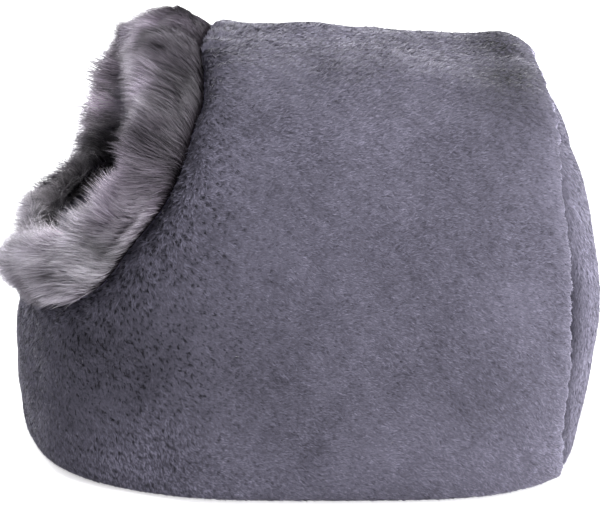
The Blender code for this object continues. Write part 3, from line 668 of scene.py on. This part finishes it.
# pile inside the cabin, seen through the mouth; its colour is made paler as painted light
in_n = -hood_n
inside_pile = blades("cabin_pile", hood_in[2:-4], in_n[2:-4], nap[2:-4], 40000, length=0.0050, width=0.0026, painted_light_gain=2.6)
rear_inside_pile = blades("cabin_rear_pile", rear_in[3:], -rear_n[3:], rear_nap[3:], 12000, length=0.0050, width=0.0026, painted_light_gain=2.6)
base_top = rows[5:]
base_nap = np.broadcast_to(back, base_top.shape).copy()
base_up = np.broadcast_to(np.array([0, 0, 1.0]), base_top.shape).copy()
floor_pile = blades("cabin_floor_pile", base_top, base_up, base_nap, 16000, length=0.0050, width=0.0027, painted_light_gain=2.4)


# ------------------------------------------------------------------ long-fur collar
RING_STEPS = 260
SIDES = 28
half = curve(MOUTH, ("x", "y", "z", "reach", "flare", "outer", "inner"), RING_STEPS // 2)
seam = on_body(direction_of(whole(half[:, :3])))
mirrored = np.concatenate([np.arange(RING_STEPS // 2 + 1), np.arange(RING_STEPS // 2 - 1, 0, -1)])
sizes = half[mirrored, 3:]
seam_n = body_normal(seam)
seam_t = unit(np.roll(seam, -1, 0) - np.roll(seam, 1, 0))
into = unit(np.cross(seam_n, seam_t))
into *= np.sign((into * (np.array([0.0, -0.175, 0.245]) - seam)).sum(1))[:, None]
reach, flare, thick_out, thick_in = sizes.T
root = seam - seam_n * (WALL / 2) + into * 0.0012
NEAR_REACH = (0.71, 0.94, 1.28, 1.34, 1.06, 0.90, 0.77, 0.76, 0.69, 0.72, 0.76, 0.82)
FAR_REACH = (0.71, 0.88, 0.74, 0.80, 1.24, 1.32, 1.34, 1.28, 1.02, 0.86, 0.78, 0.82)
NEAR_FLARE = (0, -10, -16, -8, 0, 0, 0, 0, 0, -2, -6, -12)     # degrees added to the mouth's flare
FAR_FLARE = (0, 16, 8, 0, 0, 0, 0, -3, -12, -18, -18, -12)
NEAR_THICK = (0.88, 0.92, 0.94, 0.96, 1.00, 1.00, 1.00, 1.00, 1.00, 1.12, 1.60, 1.65)
FAR_THICK = (0.88, 0.80, 0.66, 0.62, 0.70, 0.86, 1.00, 1.00, 1.00, 1.00, 1.35, 1.65)
rows_at = np.array([MOUTH[k] for k in ("x", "y", "z")]).T
row_run = np.concatenate([[0], np.cumsum(np.linalg.norm(np.diff(rows_at, axis=0), axis=1))])
half_at = np.linspace(0, row_run[-1], RING_STEPS // 2 + 1)
near_scale, far_scale = np.interp(half_at, row_run, NEAR_REACH), np.interp(half_at, row_run, FAR_REACH)
reach = reach * np.concatenate([near_scale, far_scale[1:-1][::-1]])
near_turn, far_turn = np.interp(half_at, row_run, NEAR_FLARE), np.interp(half_at, row_run, FAR_FLARE)
flare = np.radians(flare + np.concatenate([near_turn, far_turn[1:-1][::-1]]))
axis = into * np.cos(flare)[:, None] + seam_n * np.sin(flare)[:, None]
over = seam_n * np.cos(flare)[:, None] - into * np.sin(flare)[:, None]
near_scale, far_scale = np.interp(half_at, row_run, NEAR_THICK), np.interp(half_at, row_run, FAR_THICK)
thick_out = thick_out * np.concatenate([near_scale, far_scale[1:-1][::-1]])
FUR_CREST, FUR_OUT, FUR_IN = 0.0185, 0.0135, 0.0105     # depth of the fur over the core
core_reach = np.maximum(reach - FUR_CREST, 0.008)
core = np.zeros((len(seam), SIDES, 3))
lumps = 1 + 0.22 * waves(seam, 0.050, 71) + 0.10 * waves(seam, 0.026, 72)
for k in range(SIDES):
    a = 2 * math.pi * k / SIDES
    s = (1 - math.cos(a)) / 2
    belly = math.sin(a) * (0.72 + 0.42 * s)
    thick = np.where(belly > 0, np.maximum(thick_out - FUR_OUT, 0.004), np.maximum(thick_in - FUR_IN, 0.004)) * lumps
    thick = thick * (1 + 0.14 * waves(seam + over * belly * 0.05 + axis * s * 0.06, 0.040, 73))
    point = root + axis * (core_reach * s ** 0.9)[:, None] + over * (belly * thick)[:, None] - seam
    high, ahead = (point * seam_n).sum(1), (point * into).sum(1)
    ahead = np.maximum(ahead, 0.0012 - np.maximum(0.0, high - 0.0036) * 1.5)
    core[:, k] = seam + seam_n * high[:, None] + into * ahead[:, None]
core_grid = core.transpose(1, 0, 2)          # rows run round the section, columns round the mouth
core_closed = np.concatenate([core_grid, core_grid[:1]], 0)
core_n = grid_normals(core_grid)
section_mid = core_grid.mean(0, keepdims=True)
core_n = np.stack([unit(np.cross(np.roll(core_grid, -1, 1)[k] - np.roll(core_grid, 1, 1)[k],
                                 core_grid[(k + 1) % SIDES] - core_grid[k - 1])) for k in range(SIDES)])
core_n *= np.sign((core_n * (core_grid - section_mid)).sum(2))[:, :, None]
core_n = np.concatenate([core_n, core_n[:1]], 0)
core_dir = unit(np.roll(core_grid, -1, 0) - np.roll(core_grid, 1, 0))   # from the seam over the outside to the crest
core_dir = np.concatenate([core_dir, core_dir[:1]], 0)
quads = ring_quads(SIDES + 1, len(seam)) % (SIDES * len(seam))
collar = build_mesh("fur_collar_core", to_row(core_grid.reshape(-1, 3)), [quads], fur_back,
                    np.broadcast_to(FUR_ROOT * 0.7, (SIDES * len(seam), 3)))
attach(collar, "root")
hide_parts("fur_collar")

row_angle = np.arange(SIDES + 1) / SIDES * 2 * math.pi
STRANDS = 144000
weight = np.broadcast_to(np.clip(np.sin(row_angle / 2) * 3.0, 0.30, 1)[:, None], core_closed.shape[:2]).copy()
weight[row_angle > math.pi] *= 0.72
r, c, u, v = sample(core_closed, core_n, STRANDS, weight)
p, n, w = read(core_closed, r, c, u, v), unit(read(core_n, r, c, u, v)), unit(read(core_dir, r, c, u, v))
angle = (r + v) / SIDES * 2 * math.pi


def round_mouth(field):
    nxt = np.roll(field, -1, 0)
    k = u[:, None] if field.ndim == 2 else u
    return field[c] * (1 - k) + nxt[c] * k


at_root, at_axis, at_over = round_mouth(root), unit(round_mouth(axis)), unit(round_mouth(over))
at_n, at_into = unit(round_mouth(seam_n)), unit(round_mouth(into))
at_reach, at_out, at_in = round_mouth(reach), round_mouth(thick_out), round_mouth(thick_in)
front = np.clip((-0.140 - p[:, 1]) / 0.05, 0, 1) * np.clip((0.22 - p[:, 2]) / 0.05, 0, 1)
top = np.clip((p[:, 2] - 0.27) / 0.04, 0, 1)
inside = np.clip((angle - math.pi * 0.95) / 0.7, 0, 1)
first = np.clip(angle / 0.9, 0, 1)[:, None]
n = unit(n * first + at_n * (1 - first))
last_part = np.clip((2 * math.pi - angle) / 0.9, 0, 1)[:, None]
n = unit(n * last_part + (at_into - at_n * 0.4) * (1 - last_part))
n = unit(n + np.array([0, -0.55, 0]) * (top * np.exp(-(angle / 1.0) ** 2))[:, None])
sweep = w * (1 - 1.9 * inside)[:, None]
sweep += np.array([0, -1.0, 0]) * (0.18 * (1 - inside))[:, None]
sweep += np.array([0, 0, 1.0]) * (0.75 * ramp(p[:, 2], 0.245, 0.31) * (1 - inside) * ramp(p[:, 0], -0.02, 0.06))[:, None]
turn = (0.32 * waves(p, 0.042, 81) + 0.12 * waves(p, 0.014, 82)) * (1 - 0.6 * inside) + rng.normal(0, 0.12, STRANDS)
b = np.cross(n, w)
sweep = unit(sweep + b * turn[:, None] * 0.8)
length = 0.0315 * (1 + 0.12 * waves(p, 0.045, 83) + 0.08 * waves(p, 0.016, 84)) * rng.uniform(0.66, 1.12, STRANDS)
length *= (1 - 0.15 * inside) * (1 - 0.15 * np.exp(-angle / 0.5)) * (1 - 0.10 * np.exp(-((angle - math.pi) / 0.8) ** 2))
length *= 1 - 0.82 * np.exp(-(angle / 1.1) ** 2) * ramp(0.045 - p[:, 0], 0, 0.05) * ramp(p[:, 2], 0.275, 0.30)
stand = 0.85 + 0.25 * waves(p, 0.030, 85) + 0.45 * top * np.exp(-(angle / 1.3) ** 2) + rng.normal(0, 0.20, STRANDS)
gravity = 0.18 + 0.50 * front
ragged = np.exp(-((angle - 2.80) / 0.60) ** 2) * (1 - 0.6 * front)       # tips at the mouth's rim stand out of the band
STEPS = 2
path = [p - n * 0.001]
for k, (rise, along_, part) in enumerate(((1.45, 0.85, 0.40), (0.52, 1.10, 0.60))):
    d = unit(n * (stand * (rise + 0.50 * k * ragged))[:, None] + sweep * (along_ - 0.42 * ragged)[:, None] + down * (gravity * (0.5 + k))[:, None]
             + rng.normal(0, 0.09, (STRANDS, 3)))
    path.append(path[-1] + d * (length * part)[:, None])
path = np.array(path)
# tufts: each strand's free end is drawn to a neighbour's
guides = rng.choice(STRANDS, STRANDS // 30, replace=False)
tree = kdtree.KDTree(len(guides))
for k, g in enumerate(guides):
    tree.insert(p[g], k)
tree.balance()
mine = np.array([guides[tree.find(q)[1]] for q in p.tolist()])
pull = rng.uniform(0.10, 0.48, STRANDS)
for k, share in ((1, 0.25), (2, 0.75)):
    target = path[k][mine] + (path[0] - path[0][mine]) * (1 - share)
    path[k] += (target - path[k]) * (pull * share)[:, None]
# a strand that reaches out of the collar's own form is cut back to it, a little unevenly
room = 0.95 + rng.normal(0, 0.09, STRANDS) + 0.07 * waves(p, 0.016, 86) + rng.uniform(0.05, 0.42, STRANDS) * (rng.random(STRANDS) < 0.30 + 0.22 * ragged)
seam_high = np.where(p[:, 0] > 0.02, 0.020, 0.010)
keep_len = np.full(STRANDS, 0.40)
for f in np.linspace(0.40, 1.0, 13):
    tip = path[0] + (path[2] - path[0]) * f - at_root
    xa, yo = (tip * at_axis).sum(1) / (at_reach * room), (tip * at_over).sum(1)
    s_ = np.clip(xa, 0, 1) ** (1 / 0.9)
    wide = np.sin(np.arccos(np.clip(1 - 2 * s_, -1, 1))) * (0.72 + 0.42 * s_)
    size = np.where(yo > 0, at_out, at_in) * wide * room + 0.0012
    over_seam = (xa < 0.25) & (yo > -0.004)
    free = ((xa < 1.0) & (np.abs(yo) < size * 1.12)) | (over_seam & (np.abs(yo) < seam_high))
    free |= (front > 0.3) & (xa < 0.9) & (np.abs(yo) < size * 1.35 + 0.003)
    tip = path[0] + (path[2] - path[0]) * f
    free &= tip[:, 2] < np.minimum(0.3360, 0.3462 + 0.364 * tip[:, 0] + 0.0022 * waves(p, 0.020, 87))
    keep_len = np.where(free, f, keep_len)
path[1] = path[0] + (path[1] - path[0]) * (0.4 + 0.6 * keep_len)[:, None]
path[2] = path[0] + (path[2] - path[0]) * keep_len[:, None]

half_width = 0.00020 * rng.uniform(0.70, 1.35, STRANDS) * 1.0
twist = rng.normal(0, 0.45, STRANDS)
verts = []
for k in range(STEPS + 1):
    d = unit(path[min(k + 1, STEPS)] - path[max(k - 1, 0)])
    facing = unit(np.cross(d, n))
    facing = facing * np.cos(twist)[:, None] + np.cross(d, facing) * np.sin(twist)[:, None]
    wide = half_width * (1.15, 0.95, 0.0)[k]
    if k < STEPS:
        verts += [path[k] - facing * wide[:, None], path[k] + facing * wide[:, None]]
    else:
        verts.append(path[k])
verts = np.stack(verts, 1)                       # strands x 5 x 3
# strand brightness: random tone of the fur here; painted light and shade are multiplied in below
fur_tone_and_painted_light = np.clip(1 + 0.27 * waves(p, 0.034, 91) + 0.11 * waves(p, 0.010, 92) + rng.normal(0, 0.30, STRANDS), 0.25, 2.3)
low_front = ramp(0.268 - p[:, 2], 0.0, 0.080)
crest = np.exp(-((angle - 2.7) / 0.65) ** 2)
# the fur's silver tips, more at the low front; the extra silver at the crest is partly the fur's pale tips and partly
# painted light, and inside the mouth it is painted light
silver = np.clip(0.26 + 0.30 * waves(p, 0.05, 93) + 0.75 * low_front + 0.50 * crest + 0.45 * inside, 0, 1.35)
# paler and darker locks of the near band, partly the fur's own tone and partly painted light and shade: share of the
# way from the mouth's front to its top, turn round the band
LOCKS = {
    "along":  (0.82, 0.745, 0.636, 0.600, 0.555, 0.466, 0.464, 0.425, 0.520, 0.400, 1.030, 0.780, 0.597, 0.905, 0.410, 0.250),
    "turn":   (2.20, 2.30, 2.00, 2.50, 2.20, 0.75, 2.35, 1.40, 0.42, 2.40, 1.85, 0.80, 1.35, 1.75, 0.45, 2.85),
    "wide":   (0.050, 0.035, 0.024, 0.026, 0.020, 0.024, 0.030, 0.035, 0.032, 0.035, 0.040, 0.100, 0.020, 0.030, 0.025, 0.130),
    "round":  (0.50, 0.50, 0.60, 0.50, 0.50, 0.90, 0.50, 0.60, 0.50, 0.40, 0.50, 0.80, 0.50, 0.50, 0.45, 0.50),
    "amount": (0.70, 0.85, -0.70, 1.30, -0.36, -0.80, 0.50, -0.20, 1.00, -0.34, 0.60, -0.50, 0.70, -0.35, -0.25, -0.32),
}
along_half = (c + u) / (RING_STEPS / 2)
lock = np.zeros(STRANDS)
for at, turn_, wide_, round_, amount in zip(*(LOCKS[k] for k in ("along", "turn", "wide", "round", "amount"))):
    lock += amount * np.exp(-((along_half - at) / wide_) ** 2 - ((angle - turn_) / round_) ** 2)
fur_tone_and_painted_light *= 1 + lock
# painted light and shade in the fur's colour: darker toward the seam and deep inside the mouth, paler high inside the
# mouth; the paler crest is partly the fur's silver and partly painted light. Lower on the far side the fur is also
# darker.
from_seam = np.clip(np.minimum(angle, 2 * math.pi - angle) / 2.3, 0, 1)
painted_light_inside = inside * (2.3 * np.exp(-((p[:, 2] - 0.216) / 0.036) ** 2) + 0.30 * ramp(p[:, 2], 0.24, 0.27))
painted_shade_inside = ramp(angle, 3.9, 5.3) * (1 - ramp(p[:, 2], 0.22, 0.27))
low_part = ramp(0.66 - np.minimum(along_half, 2 - along_half), 0.0, 0.12) * (1 - inside)
fur_tone_and_painted_light = fur_tone_and_painted_light * (0.52 + 0.40 * from_seam ** 1.2 + 0.34 * low_part * (1 - from_seam) + 0.60 * crest
                 + 0.35 * low_front + painted_light_inside) * (1 - 0.34 * painted_shade_inside)
fur_tone_and_painted_light *= 1 - 0.56 * ramp(-p[:, 0], 0.03, 0.10) * ramp(0.205 - p[:, 2], 0.0, 0.03) * ramp(angle, 1.8, 2.6) * (1 - inside)
fur_tone_and_painted_light *= 1 - 0.66 * inside * ramp(-p[:, 0], 0.03, 0.10) * ramp(0.208 - p[:, 2], 0.0, 0.03)
seam_painted_shade = (1 - from_seam) ** 2 * (0.6 - 0.3 * low_part)
tones = []
for k, t in enumerate((0.0, 0.42, 1.0)):
    if k == 0:
        tone = np.broadcast_to(FUR_ROOT, (STRANDS, 3))
    elif k == 1:
        tone = FUR_MID * (1 - seam_painted_shade)[:, None] + FUR_ROOT * seam_painted_shade[:, None] + (FUR_TIP - FUR_MID) * (0.35 * silver ** 2)[:, None]
    else:
        tone = FUR_MID + (FUR_TIP - FUR_MID) * (0.40 + 0.60 * silver)[:, None]
    tone = tone * (1 + inside[:, None] * np.array([0.012, 0.006, -0.030]))
    tones += [tone * fur_tone_and_painted_light[:, None]] * (2 if k < STEPS else 1)
tones = np.stack(tones, 1)
groups = 3
order = np.argsort(c + u, kind="stable")
parts = np.array_split(order, groups)
fur_pieces = []
for g, members in enumerate(parts):
    m = len(members)
    vv = verts[members].reshape(-1, 3)
    tt = tones[members].reshape(-1, 3)
    idx = np.arange(m) * 5
    quad = np.stack([idx, idx + 1, idx + 3, idx + 2], 1)
    tri = np.stack([idx + 2, idx + 3, idx + 4], 1)
    thing = build_mesh(f"collar_fur_{g + 1}", to_row(vv), [quad, tri], fur_hair, tt)
    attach(thing, "root")
    fur_pieces.append(thing)

# ------------------------------------------------------------------ floor, light, camera
def plain(name, colour, roughness=0.9):
    material = bpy.data.materials.new(name)
    material.use_nodes = True
    shader = material.node_tree.nodes["Principled BSDF"]
    shader.inputs["Base Color"].default_value = (*colour, 1)
    shader.inputs["Roughness"].default_value = roughness
    shader.inputs["Specular IOR Level"].default_value = 0.1
    return material


floor_look = plain("pale_floor", (0.93, 0.93, 0.94))
FLOOR_GLOW = 0.07
look = floor_look.node_tree
look.nodes["Principled BSDF"].inputs["Emission Color"].default_value = (1.0, 0.99, 1.0, 1)
look.nodes["Principled BSDF"].inputs["Emission Strength"].default_value = FLOOR_GLOW
glow = look.nodes.new("ShaderNodeEmission")
glow.inputs["Color"].default_value = (0.99, 0.98, 1.0, 1)
glow.inputs["Strength"].default_value = 0.55
place = look.nodes.new("ShaderNodeTexCoord")
far = look.nodes.new("ShaderNodeVectorMath")
far.operation = "LENGTH"
even = look.nodes.new("ShaderNodeMapRange")
even.inputs["From Min"].default_value = 0.45
even.inputs["From Max"].default_value = 1.60
even.inputs["To Min"].default_value = 0.55
even.inputs["To Max"].default_value = 1.00
look.links.new(place.outputs["Object"], far.inputs[0])
look.links.new(far.outputs["Value"], even.inputs["Value"])
look.links.new(even.outputs["Result"], glow.inputs["Strength"])
direct = look.nodes.new("ShaderNodeLightPath")
both = look.nodes.new("ShaderNodeAddShader")
choose = look.nodes.new("ShaderNodeMixShader")
look.links.new(look.nodes["Principled BSDF"].outputs[0], both.inputs[0])
look.links.new(glow.outputs[0], both.inputs[1])
look.links.new(direct.outputs["Is Camera Ray"], choose.inputs[0])
look.links.new(look.nodes["Principled BSDF"].outputs[0], choose.inputs[1])
look.links.new(both.outputs[0], choose.inputs[2])
look.links.new(choose.outputs[0], look.nodes["Material Output"].inputs["Surface"])
floor = build_mesh("studio_floor", np.array([[-9, -9, 0], [9, -9, 0], [9, 9, 0], [-9, 9, 0]], float),
                   [np.array([[0, 1, 2, 3]])], floor_look)

AMBIENT = 0.09
world = bpy.data.worlds.new("studio")
bpy.context.scene.world = world
world.use_nodes = True
wt = world.node_tree
background = wt.nodes["Background"]
background.inputs["Color"].default_value = (0.96, 0.97, 1.0, 1)
background.inputs["Strength"].default_value = AMBIENT
sweep_white = wt.nodes.new("ShaderNodeBackground")
sweep_white.inputs["Color"].default_value = (1, 1, 1, 1)
sweep_white.inputs["Strength"].default_value = 1.0
seen = wt.nodes.new("ShaderNodeLightPath")
pick = wt.nodes.new("ShaderNodeMixShader")
wt.links.new(seen.outputs["Is Camera Ray"], pick.inputs[0])
wt.links.new(background.outputs[0], pick.inputs[1])
wt.links.new(sweep_white.outputs[0], pick.inputs[2])
wt.links.new(pick.outputs[0], wt.nodes["World Output"].inputs["Surface"])


def area(name, azimuth, height, distance, size, power, colour=(1, 1, 1)):
    """A soft lamp aimed at the object; azimuth in degrees from +X toward +Y, height in degrees above the floor."""
    azimuth, height = math.radians(azimuth), math.radians(height)
    toward = Vector((math.cos(azimuth) * math.cos(height), math.sin(azimuth) * math.cos(height), math.sin(height)))
    light = bpy.data.lights.new(name, "AREA")
    light.shape = "DISK"
    light.size = size
    light.energy = power
    light.color = colour
    thing = bpy.data.objects.new(name, light)
    bpy.context.scene.collection.objects.link(thing)
    thing.location = Vector((0, 0, 0.15)) + toward * distance
    thing.rotation_euler = (-toward).to_track_quat("-Z", "Y").to_euler()
    return thing


LIGHTS = (
    ("key_rear_low", 56, 9, 2.6, 1.5, 84),
    ("top", -30, 82, 2.6, 1.5, 64),
    ("rear", 100, 13, 2.6, 1.5, 58),
    ("front_fill", -150, 18, 2.6, 1.6, 40),
    ("mouth", -95, 46, 2.6, 1.5, 26),
)
for entry in LIGHTS:
    if entry[5] > 0:
        area(*entry)

beam = bpy.data.lights.new("cabin_light", "SPOT")
beam.energy = 170
beam.spot_size = math.radians(8)
beam.spot_blend = 1.0
beam.shadow_soft_size = 0.12
beam_object = bpy.data.objects.new("cabin_light", beam)
bpy.context.scene.collection.objects.link(beam_object)
mouth_middle = Vector((0, -0.140, 0.235))
beam_from = Vector((0, -math.cos(math.radians(13)), math.sin(math.radians(13))))
beam_object.location = mouth_middle + beam_from * 1.7
beam_object.rotation_euler = (-beam_from).to_track_quat("-Z", "Y").to_euler()

DISTANCE, FOCAL = 1.8, 1.8 / 0.0008
tilt = math.radians(20)
aim = Vector((0, ROW_Y, 0.16))
away = Vector((math.cos(tilt), 0, math.sin(tilt)))
camera = bpy.data.cameras.new("photo_camera")
camera_object = bpy.data.objects.new("photo_camera", camera)
bpy.context.scene.collection.objects.link(camera_object)
camera_object.location = aim + away * DISTANCE
camera_object.rotation_euler = (-away).to_track_quat("-Z", "Y").to_euler()
camera.sensor_width = 36
camera.lens = FOCAL * 36 / 600
camera.shift_x = 0.0
camera.shift_y = (222.4 - 254) / 600
camera.clip_end = 50
bpy.context.scene.camera = camera_object
bpy.context.scene.view_settings.view_transform = "Standard"

total = 0
for o in bpy.context.scene.objects:
    if o.type == "MESH" and "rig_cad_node" not in o and o is not floor:
        tris = sum(len(q.vertices) - 2 for q in o.data.polygons)
        total += tris
        print("piece", o.name, tris)
print("triangles", total)
